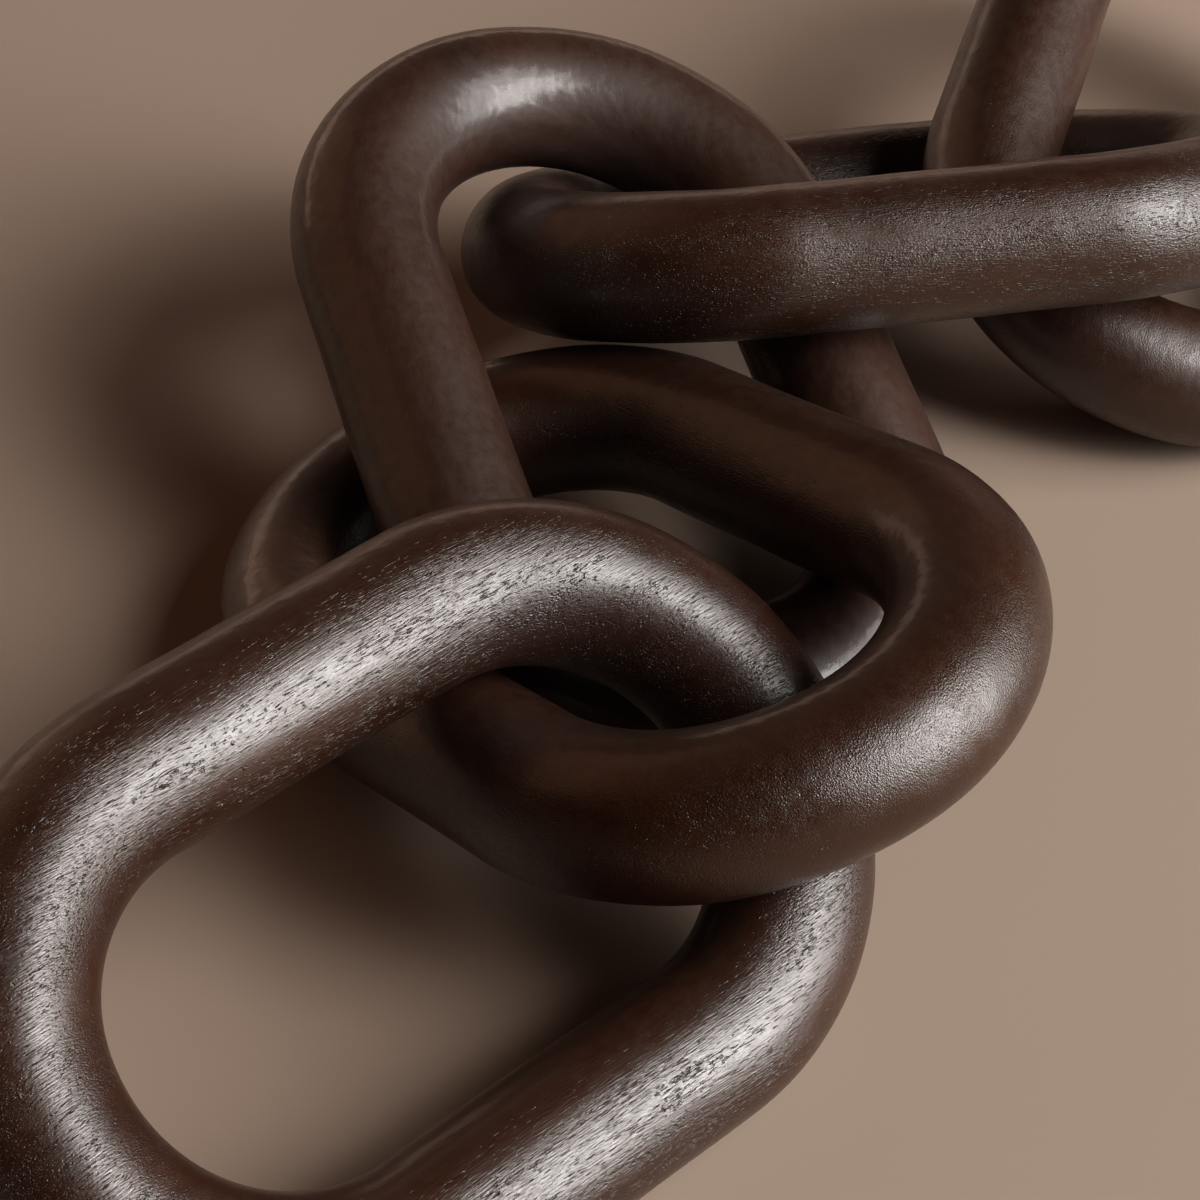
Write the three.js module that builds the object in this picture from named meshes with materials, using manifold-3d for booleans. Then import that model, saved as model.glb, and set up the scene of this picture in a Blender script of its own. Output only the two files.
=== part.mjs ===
// A decorative chain of five wooden links, lying loosely piled on a table.
// Millimetres, +Z up, +Y away from the viewer. The origin is on the table, under the middle of the pile.

import * as THREE from "three";
import { mergeVertices } from "three/addons/utils/BufferGeometryUtils.js";
import Module from "manifold-3d";

const wasm = await Module();
wasm.setup();

// Every link is one closed ring of round bar: two straight sides joined by two half-circle ends.
const BAR_DIAMETER = 25;
const LINK_LENGTH = 6 * BAR_DIAMETER;
const LINK_WIDTH = 4 * BAR_DIAMETER;
const END_RADIUS = (LINK_WIDTH - BAR_DIAMETER) / 2;
const STRAIGHT_LENGTH = LINK_LENGTH - LINK_WIDTH;

// Facets: around the bar, around each half-circle end and along each straight side.
const BAR_SIDES = 20;
const END_STEPS = 18;
const STRAIGHT_STEPS = 2;

// The links in the order of the chain, from its near left end to its far right end.
// middle is the middle of the ring: X and Y from the middle of link_2, and Z above the table.
// turn is the heading of the long axis from +X, slope is how much its far end rises, and lean is
// the roll about it, all in degrees. size is how much larger the hand-made link is than the others.
const LINKS = [
  { name: "link_1", size: 0.99, middle: [-25.9, -67.3, 32.3], turn: 42.9, slope: 0.0, lean: 33.0 },
  { name: "link_2", size: 1.003, middle: [0.0, 0.0, 30.0], turn: -49.4, slope: 15.7, lean: 6.4 },
  { name: "link_3", size: 1.011, middle: [0.7, 54.5, 30.9], turn: -70.5, slope: -15.2, lean: -10.6 },
  { name: "link_4", size: 1.025, middle: [47.4, 100.0, 31.2], turn: 11.7, slope: 0.0, lean: -29.2 },
  { name: "link_5", size: 0.981, middle: [110.4, 135.3, 29.5], turn: 72.2, slope: 11.4, lean: 16.9 },
];

// The block under the table's surface that gives each link the small flat spots that it lies on.
const TABLE_SPAN = 1000;
const TABLE_DEPTH = 100;

// The centreline of a link: up one side, round an end, back down the other side and round again.
// Its parameter moves evenly from facet to facet, so the straight sides need only a few of them.
class LinkCentreline extends THREE.Curve {
  constructor() {
    super();
    const half = STRAIGHT_LENGTH / 2;
    this.stretches = [];
    for (const side of [1, -1]) {
      this.stretches.push({
        steps: STRAIGHT_STEPS,
        point: (t) => new THREE.Vector3(side * (2 * t - 1) * half, side * END_RADIUS, 0),
        tangent: () => new THREE.Vector3(side, 0, 0),
      });
      this.stretches.push({
        steps: END_STEPS,
        point: (t) => {
          const angle = Math.PI * t;
          const x = side * (half + END_RADIUS * Math.sin(angle));
          return new THREE.Vector3(x, side * END_RADIUS * Math.cos(angle), 0);
        },
        tangent: (t) => {
          const angle = Math.PI * t;
          return new THREE.Vector3(side * Math.cos(angle), -side * Math.sin(angle), 0);
        },
      });
    }
    this.steps = this.stretches.reduce((sum, stretch) => sum + stretch.steps, 0);
  }

  locate(t) {
    let step = (t % 1) * this.steps;
    for (const stretch of this.stretches) {
      if (step < stretch.steps) {
        return [stretch, step / stretch.steps];
      }
      step -= stretch.steps;
    }
    return [this.stretches[0], 0];
  }

  getPoint(t) {
    const [stretch, share] = this.locate(t);
    return stretch.point(share);
  }

  getTangent(t) {
    const [stretch, share] = this.locate(t);
    return stretch.tangent(share);
  }

  getUtoTmapping(u) {
    return u;
  }
}

const stainedWood = new THREE.MeshStandardMaterial({ color: 0x2e2019, roughness: 0.42, metalness: 0 });

function toSolid(geometry) {
  const bare = geometry.clone();
  bare.deleteAttribute("normal");
  bare.deleteAttribute("uv");
  const merged = mergeVertices(bare, 1e-4);
  const vertProperties = new Float32Array(merged.attributes.position.array);
  const triVerts = new Uint32Array(merged.index.array);
  return new wasm.Manifold(new wasm.Mesh({ numProp: 3, vertProperties, triVerts }));
}

function toGeometry(solid) {
  const mesh = solid.getMesh();
  const geometry = new THREE.BufferGeometry();
  geometry.setAttribute("position", new THREE.BufferAttribute(new Float32Array(mesh.vertProperties), 3));
  geometry.setIndex(new THREE.BufferAttribute(new Uint32Array(mesh.triVerts), 1));
  geometry.computeVertexNormals();
  return geometry;
}

function linkRing() {
  const centreline = new LinkCentreline();
  return new THREE.TubeGeometry(centreline, centreline.steps, BAR_DIAMETER / 2, BAR_SIDES, true);
}

function tableBlock() {
  const block = new THREE.BoxGeometry(TABLE_SPAN, TABLE_SPAN, TABLE_DEPTH);
  block.translate(0, 0, -TABLE_DEPTH / 2);
  return block;
}

// A link in its place, with whatever would sink into the table cut off flat.
function makeLink({ name, size, middle, turn, slope, lean }) {
  const link = new THREE.Mesh(undefined, stainedWood);
  link.name = name;
  link.position.set(...middle);
  link.rotation.set(...[lean, -slope, turn].map(THREE.MathUtils.degToRad), "ZYX");
  link.updateMatrix();
  const ring = linkRing().scale(size, size, size);
  const table = tableBlock().applyMatrix4(link.matrix.clone().invert());
  link.geometry = toGeometry(toSolid(ring).subtract(toSolid(table)));
  return link;
}

const chain = new THREE.Group();
for (const link of LINKS) {
  chain.add(makeLink(link));
}

// The origin goes to the middle of the pile's footprint, and the table's surface stays at Z = 0.
chain.updateMatrixWorld(true);
const footprint = new THREE.Box3().setFromObject(chain, true).getCenter(new THREE.Vector3());
chain.position.set(-footprint.x, -footprint.y, 0);
chain.updateMatrixWorld(true);

export default chain;
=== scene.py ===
"""A chain of five dark stained wooden links, lying loosely piled on a pale table.

Everything is in metres in the frame of the CAD model: +Z up, +Y away from the viewer, the table at Z = 0.
Only the heights in LINKS, the grain and the wood's textures are in millimetres.
"""

import math
from types import SimpleNamespace

import bpy
import numpy as np
from mathutils import Matrix, Vector


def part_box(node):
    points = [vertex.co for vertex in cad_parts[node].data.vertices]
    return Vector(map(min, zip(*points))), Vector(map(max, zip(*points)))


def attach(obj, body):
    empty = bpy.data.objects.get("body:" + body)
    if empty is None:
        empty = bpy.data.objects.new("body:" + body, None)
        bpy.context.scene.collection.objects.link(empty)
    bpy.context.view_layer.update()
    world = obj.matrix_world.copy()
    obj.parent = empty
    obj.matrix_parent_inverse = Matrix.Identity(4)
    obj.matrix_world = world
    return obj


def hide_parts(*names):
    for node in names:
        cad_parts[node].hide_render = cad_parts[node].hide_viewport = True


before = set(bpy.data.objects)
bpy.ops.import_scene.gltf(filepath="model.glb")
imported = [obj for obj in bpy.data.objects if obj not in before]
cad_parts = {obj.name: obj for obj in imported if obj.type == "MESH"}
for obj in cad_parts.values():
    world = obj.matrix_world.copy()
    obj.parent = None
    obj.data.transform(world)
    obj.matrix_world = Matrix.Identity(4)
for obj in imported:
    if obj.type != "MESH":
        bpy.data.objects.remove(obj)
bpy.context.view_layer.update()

MM = 0.001
BODY = "root"
FINISH = "stained_wood"

# One link: a closed ring of round bar, two straight sides joined by two half-circle ends.
BAR_RADIUS = 12.5 * MM
END_RADIUS = 3 * BAR_RADIUS
HALF_STRAIGHT = 2 * BAR_RADIUS

# How each link lies: the height of its middle in millimetres, and the heading of its long axis from +X,
# the rise of its far end and the roll about it in degrees. size is how large the hand-made link is, where
# a nominal one is 1.
LINKS = {
    "link_1": {"size": 0.990, "height": 32.3, "turn": 42.9, "slope": 0.0, "lean": 33.0},
    "link_2": {"size": 1.003, "height": 30.0, "turn": -49.4, "slope": 15.7, "lean": 6.4},
    "link_3": {"size": 1.011, "height": 30.9, "turn": -70.5, "slope": -15.2, "lean": -10.6},
    "link_4": {"size": 1.025, "height": 31.2, "turn": 11.7, "slope": 0.0, "lean": -29.2},
    "link_5": {"size": 0.981, "height": 29.5, "turn": 72.2, "slope": 11.4, "lean": 16.9},
}

# Where in the tree each link was cut: along the trunk and out from its heart in millimetres, and round it
# in degrees.
CUTS = {
    "link_1": (0.0, 130.0, 35.0),
    "link_2": (400.0, 95.0, 110.0),
    "link_3": (800.0, 150.0, 250.0),
    "link_4": (1200.0, 110.0, 160.0),
    "link_5": (1600.0, 140.0, 300.0),
}

# How each link was finished: how open its grain was left, from 0, filled with wax, to 1; how much the stain
# raised the surface in fine pimples, from 0 to 1; and the roughness where the wood was rubbed most.
FINISHES = {
    "link_1": (1.0, 0.25, 0.33),
    "link_2": (0.6, 0.75, 0.28),
    "link_3": (0.0, 0.18, 0.50),
    "link_4": (0.95, 0.65, 0.32),
    "link_5": (0.4, 0.35, 0.40),
}

# The side of every bar on which the finish filled the wood better, and the cosines of the angles from it
# at which the filling starts and is full. Then come how much of the unevenness is left where the wood is
# filled, and the roughness there, because the filler is more matt than the rubbed wood.
FILLED_SIDE = np.array([-0.45, 0.65, 0.61])
FILLED_LIMITS = (0.3, 0.8)
FILLED_REST = 0.2
FILLED_ROUGHNESS = 0.46

# Where the tool tore one link's grain out: a spot on its near side, in its own frame, and its reach along,
# across and through the link.
TORN_LINK = "link_1"
TORN_SPOT = np.array([13.0, -39.6, 12.0]) * MM
TORN_REACH = np.array([10.0, 2.2, 4.0]) * MM

FACES_AROUND = 128
FACES_ALONG_STRAIGHT = 72
FACES_ROUND_END = 168

# The unevenness that hand sanding leaves: the most that it takes off, the share of that which it takes off
# on average and how far the share swings to either side, and the spacing of the low and high places. It
# fades out towards the table.
RELIEF_DEPTH = 0.28 * MM
RELIEF_MEAN = 0.5
RELIEF_SWING = 0.25
RELIEF_SPACING = (14.0 * MM, 48.0 * MM)
RELIEF_WAVES = 40
RELIEF_SEED = 11
SEAT_HEIGHT = 1.5 * MM

# How far the grain wanders sideways from the link's long axis.
GRAIN_WANDER = 0.9
GRAIN_SPACING = (50.0, 140.0)
GRAIN_WAVES = 8
GRAIN_SEED = 5
GRAIN_SEED_STEP = 20

# The wood's textures: the length of each along the grain and its width across it, how many finer layers it
# has and how strong they are.
TEXTURES = {
    "lanes": (30.0, 1.0, 1.0, 0.5),
    "patches": (40.0, 7.0, 1.0, 0.5),
    "vessels": (1.8, 0.18, 1.0, 0.4),
    "fibres": (3.8, 0.22, 2.0, 0.6),
    "tooth": (0.38, 0.27, 1.0, 0.5),
    "wax": (3.0, 2.4, 1.0, 0.5),
    "tears": (14.0, 3.4, 1.0, 0.5),
    "holes": (1.1, 0.62, 1.0, 0.5),
    "blotches": (60.0, 18.0, 1.0, 0.5),
}

# A vessel is cut open as a pore where its texture and these shares of the lanes, the patches and the
# openness of the grain add up to more than the limits. The grain is torn out in the same way.
PORE_LANES = 0.30
PORE_PATCHES = 0.26
PORE_OPENNESS = 0.25
PORE_LIMITS = (1.12, 1.28)
TORN_TEARS = 0.9
TORN_OPENNESS = 0.2
TORN_DAMAGE = 0.40
TORN_LIMITS = (1.38, 1.50)

# How deep or high each texture is. The fibres and the pimples are lower between the patches, and the wax is
# thinner on open grain.
PORE_DEPTH = 0.06
TORN_DEPTH = 0.16
FIBRE_HEIGHT = 0.12
FILLED_FIBRE_HEIGHT = 0.0015
PIMPLE_HEIGHT = 0.12
PIT_TOOTH_HEIGHT = 0.26
WAX_HEIGHT = 0.12
OPEN_WAX_HEIGHT = 0.03
PATCH_LIMITS = (0.3, 0.6)
BETWEEN_PATCHES = 0.4

# The stain where the wood took most and least of it, and in the pits. The shares of the blotches and of the
# fibres add up to the tone, which goes from dark to pale between its limits.
DARK_STAIN = (0.024, 0.0068, 0.0019, 1)
PALE_STAIN = (0.042, 0.0124, 0.0036, 1)
PIT_STAIN = (0.014, 0.0038, 0.0011, 1)
TONE_BLOTCHES = 0.5
TONE_FIBRES = 0.5
TONE_LIMITS = (0.32, 0.68)

# How much rougher the wood is where it lies low between the pimples and where the wax lies thick, each with
# the texture's values where that starts and is full, and how much smoother it is round the torn spot.
LOW_LIMITS = (0.62, 0.36)
LOW_DULLNESS = 0.05
PIMPLE_DULLNESS = 0.10
WAX_LIMITS = (0.3, 0.7)
WAX_DULLNESS = 0.08
TORN_GLOSS = 0.08

# The gloss of the stained wood and of the thin coat of wax over it.
WOOD_SPECULAR = 0.8
COAT_WEIGHT = 0.45
COAT_ROUGHNESS = 0.16

FLOOR_HALF = 6.0
FLOOR_COLOUR = (0.39, 0.30, 0.245, 1)
FLOOR_ROUGHNESS = 0.9
ROOM_COLOUR = (0.018, 0.012, 0.009, 1)

# The soft boxes that face the pile: their directions in degrees, with the azimuth from straight behind the
# pile towards the right, and their distances and sizes.
DAYLIGHT = (1.0, 0.99, 0.965)
LIGHTS = {
    "window": {
        "azimuth": 103, "elevation": 30, "distance": 2.2, "width": 1.78, "height": 2.34,
        "radiance": 4.6, "colour": DAYLIGHT,
    },
    "bright_pane": {
        "azimuth": 112, "elevation": 31, "distance": 2.0, "width": 0.68, "height": 1.36,
        "radiance": 8.4, "colour": DAYLIGHT,
    },
    "wall": {
        "azimuth": -60, "elevation": 26, "distance": 2.2, "width": 2.4, "height": 2.1,
        "radiance": 0.42, "colour": (1.0, 0.55, 0.35),
    },
    "back_wall": {
        "azimuth": -20, "elevation": 6, "distance": 2.2, "width": 3.8, "height": 0.4,
        "radiance": 1.0, "colour": (1.0, 0.74, 0.6),
    },
}

# The photograph's view: from the front and above, with a long lens.
CAMERA_PLACE = Vector((-39.85, -373.5, 345.6)) * MM
CAMERA_TILT = 46.73
CAMERA_ROLL = 1.24
CAMERA_LENS = 88.62
CAMERA_SENSOR = 36.0


def link_pose(name):
    """The link's place and attitude: its middle is the middle of its CAD node."""
    link = LINKS[name]
    low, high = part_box(name)
    middle = (low + high) / 2
    middle.z = link["height"] * MM
    turn, slope, lean = (math.radians(link[key]) for key in ("turn", "slope", "lean"))
    heading = Matrix.Rotation(turn, 4, "Z") @ Matrix.Rotation(-slope, 4, "Y")
    return Matrix.Translation(middle) @ (heading @ Matrix.Rotation(lean, 4, "X"))


def centreline():
    """Points along the middle of the bar and the outward direction at each, once round the link."""
    points, outward = [], []
    for side in (1, -1):
        for step in range(FACES_ALONG_STRAIGHT):
            x = side * HALF_STRAIGHT * (2 * step / FACES_ALONG_STRAIGHT - 1)
            points.append((x, side * END_RADIUS, 0))
            outward.append((0, side, 0))
        for step in range(FACES_ROUND_END):
            angle = math.pi * step / FACES_ROUND_END
            direction = (side * math.sin(angle), side * math.cos(angle), 0)
            points.append((side * HALF_STRAIGHT + END_RADIUS * direction[0], END_RADIUS * direction[1], 0))
            outward.append(direction)
    return np.array(points), np.array(outward)


def soft_waves(points, spacing, count, seed):
    """A smooth random field over the points, of about unit size, made of waves between the two spacings."""
    draw = np.random.default_rng(seed)
    total = np.zeros(len(points))
    for _ in range(count):
        direction = draw.normal(size=3)
        direction /= np.linalg.norm(direction)
        length = draw.uniform(*spacing)
        total += np.sin(points @ direction * (2 * math.pi / length) + draw.uniform(0, 2 * math.pi))
    return total / math.sqrt(count / 2)


def bar_points():
    """Points in the middle of the bar, and the direction out to the surface from each, ring after ring."""
    points, outward = centreline()
    angles = np.linspace(0, 2 * math.pi, FACES_AROUND, endpoint=False)
    sideways = np.cos(angles)[None, :, None] * outward[:, None, :]
    upward = np.sin(angles)[None, :, None] * np.array([0.0, 0.0, 1.0])
    return np.repeat(points, FACES_AROUND, axis=0), (sideways + upward).reshape(-1, 3)


def bar_faces(rings):
    """The corners of every face between neighbouring rings, once round the link."""
    ring, column = np.meshgrid(np.arange(rings), np.arange(FACES_AROUND), indexing="ij")
    here = ring * FACES_AROUND
    further = (ring + 1) % rings * FACES_AROUND
    next_column = (column + 1) % FACES_AROUND
    corners = (here + column, here + next_column, further + next_column, further + column)
    return np.stack([corner.ravel() for corner in corners], axis=1)


def sanding(seed, surface, height):
    """How much hand sanding took off at each point of the surface, at that height above the table."""
    seated = np.clip(height / SEAT_HEIGHT, 0, 1)
    waves = soft_waves(surface, RELIEF_SPACING, RELIEF_WAVES, RELIEF_SEED + seed)
    return RELIEF_DEPTH * np.clip(RELIEF_MEAN - RELIEF_SWING * waves, 0, 1) * seated


def grain_at(name, seed, points):
    """Where each point was in the tree, in millimetres: X along the trunk, and its heart at Y = Z = 0."""
    along, out, round_heart = CUTS[name]
    angle = math.radians(round_heart)
    place = points + np.array([along, out * math.cos(angle), out * math.sin(angle)])
    for axis in (1, 2):
        axis_seed = GRAIN_SEED + seed + GRAIN_SEED_STEP * axis
        place[:, axis] += GRAIN_WANDER * soft_waves(points, GRAIN_SPACING, GRAIN_WAVES, axis_seed)
    return place


def finish_at(name, facing):
    """How open, how pimply and how rough the wood is wherever its surface faces each of those ways."""
    start, full = FILLED_LIMITS
    filled = np.clip((facing @ FILLED_SIDE - start) / (full - start), 0, 1)
    uneven = 1 - (1 - FILLED_REST) * filled
    open_grain, pimples, roughness = FINISHES[name]
    matt = max(FILLED_ROUGHNESS - roughness, 0)
    return np.stack([open_grain * uneven, pimples * uneven, roughness + matt * filled], axis=1)


def damage_at(name, points):
    """How torn the grain is at each point of the link, from 0 to 1."""
    if name != TORN_LINK:
        return np.zeros(len(points))
    reach = (((points - TORN_SPOT) / TORN_REACH) ** 2).sum(axis=1)
    return np.exp(-reach)


def store(mesh, name, values):
    """Keeps a number or a vector at every vertex of the mesh, for the material to read."""
    kind, key = ("FLOAT", "value") if values.ndim == 1 else ("FLOAT_VECTOR", "vector")
    attribute = mesh.attributes.new(name, kind, "POINT")
    attribute.data.foreach_set(key, values.astype(np.float32).ravel())


def link_mesh(name, seed, pose):
    """The link where it lies, with its grain and its finish stored at every vertex."""
    turned = np.array(pose.to_3x3())
    middle, direction = bar_points()
    round_bar = (middle + BAR_RADIUS * direction) * LINKS[name]["size"]
    height = round_bar @ turned[2] + pose.translation.z
    surface = round_bar - sanding(seed, round_bar, height)[:, None] * direction

    # Whatever would sink into the table is pushed straight up and lies flat on it.
    placed = surface @ turned.T + np.array(pose.translation)
    placed[:, 2] = np.clip(placed[:, 2], 0, None)

    faces = bar_faces(len(placed) // FACES_AROUND)
    mesh = bpy.data.meshes.new(name + "_wood")
    mesh.from_pydata(placed.tolist(), [], faces.tolist())
    mesh.polygons.foreach_set("use_smooth", np.ones(len(faces), bool))
    store(mesh, "grain", grain_at(name, seed, surface / MM))
    store(mesh, "finish", finish_at(name, direction @ turned.T))
    store(mesh, "damage", damage_at(name, surface))
    mesh.update()
    return mesh


def add(tree, kind, inputs=None, **settings):
    """A shader node with its settings, and its inputs linked or set."""
    node = tree.nodes.new("ShaderNode" + kind)
    for key, value in settings.items():
        setattr(node, key, value)
    for key, value in (inputs or {}).items():
        if isinstance(value, bpy.types.NodeSocket):
            tree.links.new(value, node.inputs[key])
        else:
            node.inputs[key].default_value = value
    return node


def maths(tree, operation, *values):
    """What that operation makes of the values."""
    return add(tree, "Math", dict(enumerate(values)), operation=operation).outputs[0]


def weighted(tree, start, *terms):
    """The start with every term added, each a value and its weight."""
    for value, weight in terms:
        start = maths(tree, "MULTIPLY_ADD", value, weight, start)
    return start


def rise(tree, value, limits, bottom=0.0, top=1.0):
    """A smooth climb from bottom to top as the value goes from one limit to the other."""
    low, high = limits
    inputs = {"Value": value, "From Min": low, "From Max": high, "To Min": bottom, "To Max": top}
    return add(tree, "MapRange", inputs, interpolation_type="SMOOTHSTEP").outputs[0]


def mix(tree, share, first, second):
    """The first colour with that share of the second. A Mix node's sockets 6 and 7 are its two colours."""
    return add(tree, "Mix", {0: share, 6: first, 7: second}, data_type="RGBA").outputs[2]


def noise(tree, grain, length, width, layers, strength):
    """Cloudy variation between 0 and 1 in patches of that length along the grain and width across it."""
    scale = (1 / length, 1 / width, 1 / width)
    place = add(tree, "VectorMath", {0: grain, 1: scale}, operation="MULTIPLY").outputs[0]
    inputs = {"Vector": place, "Scale": 1.0, "Detail": layers, "Roughness": strength}
    return add(tree, "TexNoise", inputs).outputs[0]


def wood_fields(tree):
    """Every texture of the wood and everything stored at the vertices, by name."""
    grain = add(tree, "Attribute", attribute_name="grain").outputs["Vector"]
    finish = add(tree, "Attribute", attribute_name="finish").outputs["Vector"]
    fields = SimpleNamespace(**{name: noise(tree, grain, *texture) for name, texture in TEXTURES.items()})
    fields.damage = add(tree, "Attribute", attribute_name="damage").outputs["Fac"]
    fields.open_grain, fields.pimples, fields.roughness = add(tree, "SeparateXYZ", {0: finish}).outputs
    return fields


def wood_pits(tree, fields):
    """Where a vessel is cut open as a pore, and where the grain is torn out, each from 0 to 1."""
    lanes = (fields.lanes, PORE_LANES)
    patches = (fields.patches, PORE_PATCHES)
    porous = weighted(tree, fields.vessels, patches, lanes, (fields.open_grain, PORE_OPENNESS))
    tears = (fields.tears, TORN_TEARS)
    damage = (fields.damage, TORN_DAMAGE)
    torn = weighted(tree, fields.holes, tears, (fields.open_grain, TORN_OPENNESS), damage)
    return rise(tree, porous, PORE_LIMITS), rise(tree, torn, TORN_LIMITS)


def wood_height(tree, fields, pores, torn, pitted):
    """How high the surface stands, in millimetres."""
    uneven = rise(tree, fields.patches, PATCH_LIMITS, bottom=BETWEEN_PATCHES)
    streaks = maths(tree, "MULTIPLY", uneven, fields.open_grain)
    pimpled = maths(tree, "MULTIPLY", uneven, fields.pimples)
    fibres = weighted(tree, FILLED_FIBRE_HEIGHT, (streaks, FIBRE_HEIGHT))
    tooth = weighted(tree, 0.0, (pimpled, PIMPLE_HEIGHT), (pitted, PIT_TOOTH_HEIGHT))
    wax = weighted(tree, WAX_HEIGHT, (fields.open_grain, OPEN_WAX_HEIGHT - WAX_HEIGHT))
    hollows = weighted(tree, 0.0, (pores, -PORE_DEPTH), (torn, -TORN_DEPTH))
    return weighted(tree, hollows, (fields.fibres, fibres), (fields.tooth, tooth), (fields.wax, wax))


def wood_colour(tree, fields, pitted):
    """The stain in its two soft tones, and darker in the pits."""
    tone = weighted(tree, 0.0, (fields.blotches, TONE_BLOTCHES), (fields.fibres, TONE_FIBRES))
    stain = mix(tree, rise(tree, tone, TONE_LIMITS), DARK_STAIN, PALE_STAIN)
    return mix(tree, pitted, stain, PIT_STAIN)


def wood_roughness(tree, fields):
    """The roughness: least on the tops of the pimples, which are rubbed, and more where it lies lower."""
    low = rise(tree, fields.tooth, LOW_LIMITS)
    low_dullness = weighted(tree, LOW_DULLNESS, (fields.pimples, PIMPLE_DULLNESS))
    waxy = (rise(tree, fields.wax, WAX_LIMITS), WAX_DULLNESS)
    return weighted(tree, fields.roughness, (low, low_dullness), waxy, (fields.damage, -TORN_GLOSS))


def make_wood():
    """Open-pored wood, stained almost black and rubbed to a soft gloss."""
    material = bpy.data.materials.new(FINISH)
    material.use_nodes = True
    tree = material.node_tree
    fields = wood_fields(tree)
    pores, torn = wood_pits(tree, fields)
    pitted = maths(tree, "MAXIMUM", pores, torn)
    height = wood_height(tree, fields, pores, torn, pitted)
    bump = add(tree, "Bump", {"Strength": 1.0, "Distance": MM, "Height": height}).outputs[0]

    shader = tree.nodes["Principled BSDF"]
    linked = {
        "Base Color": wood_colour(tree, fields, pitted),
        "Roughness": wood_roughness(tree, fields),
        "Normal": bump,
        "Coat Normal": bump,
    }
    for key, value in linked.items():
        tree.links.new(value, shader.inputs[key])
    shader.inputs["Specular IOR Level"].default_value = WOOD_SPECULAR
    shader.inputs["Coat Weight"].default_value = COAT_WEIGHT
    shader.inputs["Coat Roughness"].default_value = COAT_ROUGHNESS
    return material


def make_links(wood):
    """Every link, in place of its CAD solid."""
    for seed, name in enumerate(LINKS):
        link = bpy.data.objects.new(name + "_wood", link_mesh(name, seed, link_pose(name)))
        bpy.context.scene.collection.objects.link(link)
        link.data.materials.append(wood)
        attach(link, BODY)
        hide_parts(name)


def make_floor():
    """The plain pale table."""
    mesh = bpy.data.meshes.new("table")
    corners = [(x * FLOOR_HALF, y * FLOOR_HALF, 0) for x, y in ((-1, -1), (1, -1), (1, 1), (-1, 1))]
    mesh.from_pydata(corners, [], [(0, 1, 2, 3)])
    material = bpy.data.materials.new("table")
    material.use_nodes = True
    shader = material.node_tree.nodes["Principled BSDF"]
    shader.inputs["Base Color"].default_value = FLOOR_COLOUR
    shader.inputs["Roughness"].default_value = FLOOR_ROUGHNESS
    shader.inputs["Specular IOR Level"].default_value = 0.0
    mesh.materials.append(material)
    floor = bpy.data.objects.new("table", mesh)
    bpy.context.scene.collection.objects.link(floor)


def make_light(name, azimuth, elevation, distance, width, height, radiance, colour):
    """A soft box that faces the pile."""
    data = bpy.data.lights.new(name, "AREA")
    data.shape = "RECTANGLE"
    data.size = width
    data.size_y = height
    data.energy = radiance * math.pi * width * height
    data.color = colour
    azimuth, elevation = math.radians(azimuth), math.radians(elevation)
    towards = Vector((
        math.sin(azimuth) * math.cos(elevation),
        math.cos(azimuth) * math.cos(elevation),
        math.sin(elevation),
    ))
    light = bpy.data.objects.new(name, data)
    light.location = towards * distance
    light.rotation_euler = towards.to_track_quat("Z", "Y").to_euler()
    bpy.context.scene.collection.objects.link(light)


def make_world():
    """A dim even room, with the contrast of the photograph."""
    world = bpy.data.worlds.new("room")
    world.use_nodes = True
    world.node_tree.nodes["Background"].inputs["Color"].default_value = ROOM_COLOUR
    bpy.context.scene.world = world
    bpy.context.scene.view_settings.view_transform = "Standard"
    bpy.context.scene.view_settings.look = "Medium High Contrast"


def make_camera():
    """The camera at the photograph's place."""
    data = bpy.data.cameras.new("camera")
    data.sensor_width = CAMERA_SENSOR
    data.lens = CAMERA_LENS
    camera = bpy.data.objects.new("camera", data)
    tilt = Matrix.Rotation(math.radians(CAMERA_TILT), 4, "X")
    roll = Matrix.Rotation(math.radians(CAMERA_ROLL), 4, "Z")
    camera.matrix_world = Matrix.Translation(CAMERA_PLACE) @ tilt @ roll
    bpy.context.scene.collection.objects.link(camera)
    bpy.context.scene.camera = camera


make_camera()
make_links(make_wood())
make_floor()
for light_name, light in LIGHTS.items():
    make_light(light_name, **light)
make_world()
